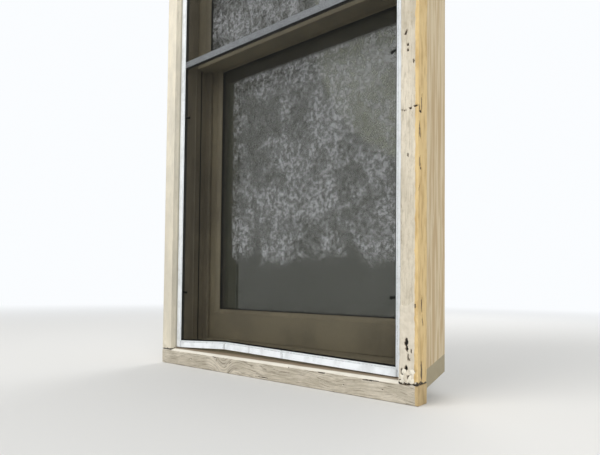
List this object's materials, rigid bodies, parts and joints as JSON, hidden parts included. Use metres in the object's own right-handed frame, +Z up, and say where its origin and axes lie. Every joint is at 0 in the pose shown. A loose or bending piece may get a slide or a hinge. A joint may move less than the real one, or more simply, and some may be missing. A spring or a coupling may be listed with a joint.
{
  "type": "double-hung sash window",
  "caption": "Double-hung wood sash window in its frame, with weathered square casing, sloping sill and a full-height insect screen with a bent foot rail.",
  "frame": {"origin": "in the wall plane, at the back of the casing, in the middle of the width and at the underside of the sill's nose", "axes": "+X across the window to the right as seen from outside, +Y into the room, +Z up"},
  "size_m": [0.796, 0.171, 1.753],
  "materials": {
    "casing_paint": "cracked cream paint over weathered softwood",
    "sill_wood": "worn cream paint over grey weathered softwood",
    "jamb_wood": "planed softwood",
    "stop_paint": "satin bronze-brown paint",
    "liner": "extruded bronze-brown vinyl",
    "screen_enamel": "scuffed white enamel",
    "screen_mesh": "charcoal coated insect mesh",
    "black_vinyl": "flexible black vinyl",
    "black_plastic": "moulded black plastic",
    "fixing_steel": "zinc-plated steel",
    "sash_paint": "satin bronze-brown paint",
    "glass": "clear sealed double pane, read dark against a dim room",
    "spacer_aluminium": "mill-finish spacer bar",
    "lock_metal": "bronze enamel"
  },
  "bodies": {
    "frame": {"balance_screws": "fixing_steel", "casing_nails": "fixing_steel", "head_blind_stop": "stop_paint", "head_casing": "casing_paint", "head_inner_stop": "stop_paint", "head_jamb": "jamb_wood", "head_parting_stop": "stop_paint", "jamb_screws": "fixing_steel", "left_blind_stop": "stop_paint", "left_casing": "casing_paint", "left_inner_stop": "stop_paint", "left_jamb": "jamb_wood", "left_jamb_liner": "liner", "left_screen_stile": "screen_enamel", "lower_balance_tubes": "fixing_steel", "right_blind_stop": "stop_paint", "right_casing": "casing_paint", "right_inner_stop": "stop_paint", "right_jamb": "jamb_wood", "right_jamb_liner": "liner", "right_screen_stile": "screen_enamel", "screen_bottom_rail": "screen_enamel", "screen_corner_keys": "black_plastic", "screen_crossbar": "screen_enamel", "screen_mesh": "screen_mesh", "screen_pull_tabs": "black_plastic", "screen_spline": "black_vinyl", "screen_top_rail": "screen_enamel", "sill": "sill_wood", "upper_balance_tubes": "fixing_steel"},
    "upper_sash": {"upper_left_stile": "sash_paint", "upper_right_stile": "sash_paint", "upper_top_rail": "sash_paint", "upper_meeting_rail": "sash_paint", "upper_glass": "glass", "upper_glass_spacer": "spacer_aluminium", "upper_glazing_gasket": "black_vinyl", "upper_glazing_beads": "sash_paint", "upper_balance_rods": "fixing_steel", "upper_balance_shoes": "black_plastic", "head_weatherstrip": "black_vinyl", "lock_keeper": "lock_metal", "keeper_screws": "fixing_steel"},
    "lower_sash": {"lower_left_stile": "sash_paint", "lower_right_stile": "sash_paint", "lower_bottom_rail": "sash_paint", "lower_meeting_rail": "sash_paint", "lower_glass": "glass", "lower_glass_spacer": "spacer_aluminium", "lower_glazing_gasket": "black_vinyl", "lower_glazing_beads": "sash_paint", "lower_balance_rods": "fixing_steel", "lower_balance_shoes": "black_plastic", "sill_weatherstrip": "black_vinyl", "meeting_weatherstrip": "black_vinyl", "lock_base": "lock_metal", "lock_screws": "fixing_steel", "sash_lifts": "lock_metal"},
    "lock": {"lock_cam": "lock_metal"}
  },
  "joints": [
    {"name": "lower_sash_slide", "type": "slide", "parent": "frame", "child": "lower_sash", "axis": [0, 0, 1], "range_m": [0, 0.7]},
    {"name": "upper_sash_slide", "type": "slide", "parent": "frame", "child": "upper_sash", "axis": [0, 0, -1], "range_m": [0, 0.7]},
    {"name": "sash_lock_turn", "type": "hinge", "parent": "lower_sash", "child": "lock", "pos_m": [0, 0.092, 0.9], "axis": [0, 0, -1], "range_deg": [0, 100]}
  ]
}
